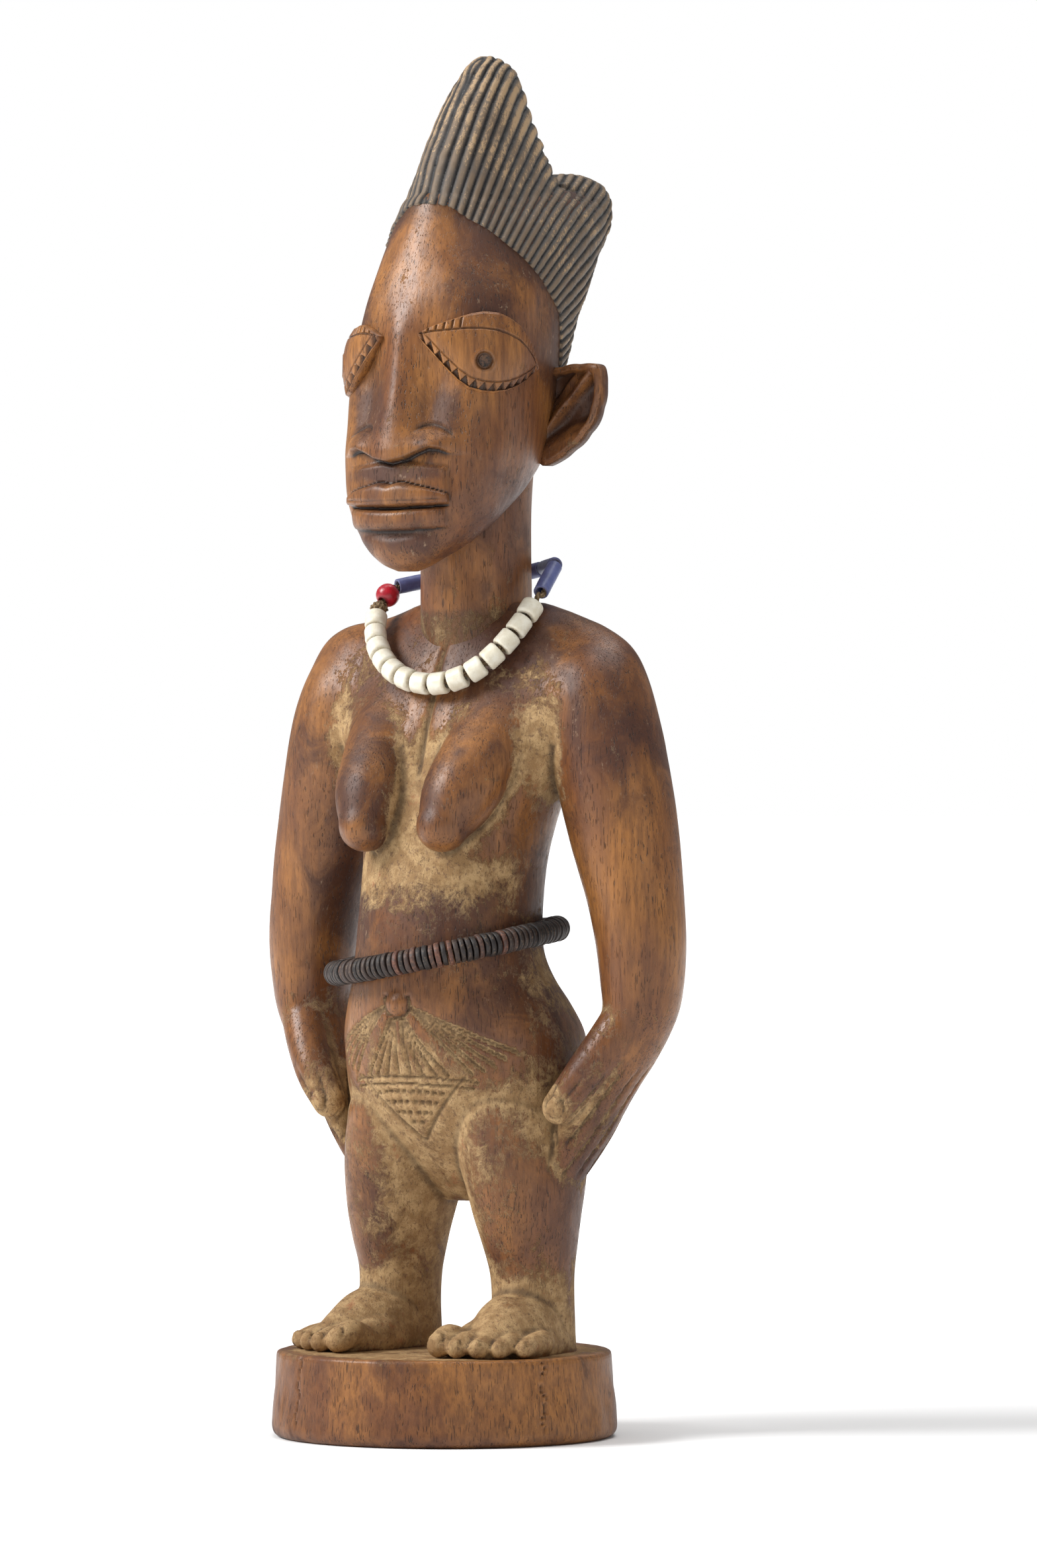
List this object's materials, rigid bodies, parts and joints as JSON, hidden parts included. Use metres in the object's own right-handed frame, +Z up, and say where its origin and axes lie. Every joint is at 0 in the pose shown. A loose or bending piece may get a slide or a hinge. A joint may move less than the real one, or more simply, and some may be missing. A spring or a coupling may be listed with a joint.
{
  "type": "carved standing figure",
  "caption": "Carved wooden standing figure on a round plinth, with hands on hips, a tall ridged hair crest, a bead necklace and a string of discs round the waist.",
  "frame": {"origin": "centre of the plinth's underside", "axes": "+Z up, the figure looks along -Y, its own left hand is on +X"},
  "size_m": [0.0994, 0.0883, 0.2808],
  "materials": {
    "carved_wood": "hand-polished brown wood with dark patina and dusty hollows",
    "iron": "dull rusted iron",
    "fibre": "twisted brown plant fibre, matt",
    "white_glass": "opaque ivory bead, satin, brown specks",
    "red_glass": "opaque crimson bead, worn",
    "blue_glass": "opaque blue tube bead, matt",
    "shell_discs": "black-brown nutshell discs with paler worn edges"
  },
  "bodies": {
    "figure": {"carved_figure": "carved_wood", "pupil_pin_left": "iron", "pupil_pin_right": "iron"},
    "necklace": {"necklace_string": "fibre", "necklace_knot": "fibre"},
    "white_bead_01": {"white_bead_01": "white_glass"},
    "white_bead_02": {"white_bead_02": "white_glass"},
    "white_bead_03": {"white_bead_03": "white_glass"},
    "white_bead_04": {"white_bead_04": "white_glass"},
    "white_bead_05": {"white_bead_05": "white_glass"},
    "white_bead_06": {"white_bead_06": "white_glass"},
    "white_bead_07": {"white_bead_07": "white_glass"},
    "white_bead_08": {"white_bead_08": "white_glass"},
    "white_bead_09": {"white_bead_09": "white_glass"},
    "white_bead_10": {"white_bead_10": "white_glass"},
    "white_bead_11": {"white_bead_11": "white_glass"},
    "white_bead_12": {"white_bead_12": "white_glass"},
    "white_bead_13": {"white_bead_13": "white_glass"},
    "white_bead_14": {"white_bead_14": "white_glass"},
    "blue_bead_1": {"blue_bead_1": "blue_glass"},
    "blue_bead_2": {"blue_bead_2": "blue_glass"},
    "blue_bead_3": {"blue_bead_3": "blue_glass"},
    "blue_bead_4": {"blue_bead_4": "blue_glass"},
    "blue_bead_5": {"blue_bead_5": "blue_glass"},
    "red_bead": {"red_bead": "red_glass"},
    "waist_string": {"waist_cord": "fibre", "waist_knot": "fibre", "waist_discs_01": "shell_discs", "waist_discs_02": "shell_discs", "waist_discs_03": "shell_discs", "waist_discs_04": "shell_discs", "waist_discs_05": "shell_discs", "waist_discs_06": "shell_discs", "waist_discs_07": "shell_discs", "waist_discs_08": "shell_discs", "waist_discs_09": "shell_discs", "waist_discs_10": "shell_discs", "waist_discs_11": "shell_discs", "waist_discs_12": "shell_discs"}
  },
  "joints": [
    {"name": "necklace_lift", "type": "slide", "parent": "figure", "child": "necklace", "axis": [0, 0, 1], "range_m": [0, 0.012]},
    {"name": "white_bead_01_spin", "type": "hinge", "parent": "necklace", "child": "white_bead_01", "pos_m": [-0.01938, 0.00317, 0.16606], "axis": [0.3164, -0.6193, -0.7186], "continuous": true},
    {"name": "white_bead_02_spin", "type": "hinge", "parent": "necklace", "child": "white_bead_02", "pos_m": [-0.0177, 0.00069, 0.16303], "axis": [0.4695, -0.5411, -0.6977], "continuous": true},
    {"name": "white_bead_03_spin", "type": "hinge", "parent": "necklace", "child": "white_bead_03", "pos_m": [-0.01539, -0.00146, 0.16017], "axis": [0.6111, -0.4664, -0.6395], "continuous": true},
    {"name": "white_bead_04_spin", "type": "hinge", "parent": "necklace", "child": "white_bead_04", "pos_m": [-0.01249, -0.00329, 0.15762], "axis": [0.7402, -0.3869, -0.5499], "continuous": true},
    {"name": "white_bead_05_spin", "type": "hinge", "parent": "necklace", "child": "white_bead_05", "pos_m": [-0.00909, -0.00475, 0.15552], "axis": [0.8504, -0.2971, -0.4342], "continuous": true},
    {"name": "white_bead_06_spin", "type": "hinge", "parent": "necklace", "child": "white_bead_06", "pos_m": [-0.00527, -0.0058, 0.15396], "axis": [0.9365, -0.1914, -0.294], "continuous": true},
    {"name": "white_bead_07_spin", "type": "hinge", "parent": "necklace", "child": "white_bead_07", "pos_m": [-0.00115, -0.00634, 0.15307], "axis": [0.9906, -0.0631, -0.1215], "continuous": true},
    {"name": "white_bead_08_spin", "type": "hinge", "parent": "necklace", "child": "white_bead_08", "pos_m": [0.00308, -0.00628, 0.15302], "axis": [0.991, 0.0928, 0.0968], "continuous": true},
    {"name": "white_bead_09_spin", "type": "hinge", "parent": "necklace", "child": "white_bead_09", "pos_m": [0.00712, -0.00552, 0.15396], "axis": [0.9026, 0.2606, 0.3425], "continuous": true},
    {"name": "white_bead_10_spin", "type": "hinge", "parent": "necklace", "child": "white_bead_10", "pos_m": [0.01061, -0.00411, 0.15586], "axis": [0.7336, 0.3996, 0.5497], "continuous": true},
    {"name": "white_bead_11_spin", "type": "hinge", "parent": "necklace", "child": "white_bead_11", "pos_m": [0.01334, -0.00221, 0.15848], "axis": [0.5482, 0.4922, 0.6762], "continuous": true},
    {"name": "white_bead_12_spin", "type": "hinge", "parent": "necklace", "child": "white_bead_12", "pos_m": [0.01535, 0.00003, 0.1615], "axis": [0.3875, 0.5544, 0.7365], "continuous": true},
    {"name": "white_bead_13_spin", "type": "hinge", "parent": "necklace", "child": "white_bead_13", "pos_m": [0.01672, 0.00251, 0.16469], "axis": [0.2524, 0.6054, 0.7548], "continuous": true},
    {"name": "white_bead_14_spin", "type": "hinge", "parent": "necklace", "child": "white_bead_14", "pos_m": [0.01753, 0.00521, 0.1679], "axis": [0.1304, 0.6568, 0.7427], "continuous": true},
    {"name": "blue_bead_1_spin", "type": "hinge", "parent": "necklace", "child": "blue_bead_1", "pos_m": [0.01665, 0.01288, 0.17427], "axis": [-0.2137, 0.8081, 0.5489], "continuous": true},
    {"name": "blue_bead_2_spin", "type": "hinge", "parent": "necklace", "child": "blue_bead_2", "pos_m": [0.0112, 0.02155, 0.17722], "axis": [-0.7277, 0.6845, -0.0438], "continuous": true},
    {"name": "blue_bead_3_spin", "type": "hinge", "parent": "necklace", "child": "blue_bead_3", "pos_m": [0.0013, 0.02602, 0.17585], "axis": [-0.9775, 0.0882, -0.1914], "continuous": true},
    {"name": "blue_bead_4_spin", "type": "hinge", "parent": "necklace", "child": "blue_bead_4", "pos_m": [-0.00952, 0.02367, 0.1751], "axis": [-0.8713, -0.4869, 0.0618], "continuous": true},
    {"name": "blue_bead_5_spin", "type": "hinge", "parent": "necklace", "child": "blue_bead_5", "pos_m": [-0.01752, 0.01594, 0.17431], "axis": [-0.4984, -0.8435, -0.2003], "continuous": true},
    {"name": "red_bead_spin", "type": "hinge", "parent": "necklace", "child": "red_bead", "pos_m": [-0.02049, 0.00889, 0.17149], "axis": [-0.0361, -0.7939, -0.6069], "continuous": true},
    {"name": "waist_turn", "type": "hinge", "parent": "figure", "child": "waist_string", "pos_m": [-0.0006, 0.0018, 0.0986], "axis": [-0.1633, -0.1144, 0.9799], "continuous": true}
  ]
}
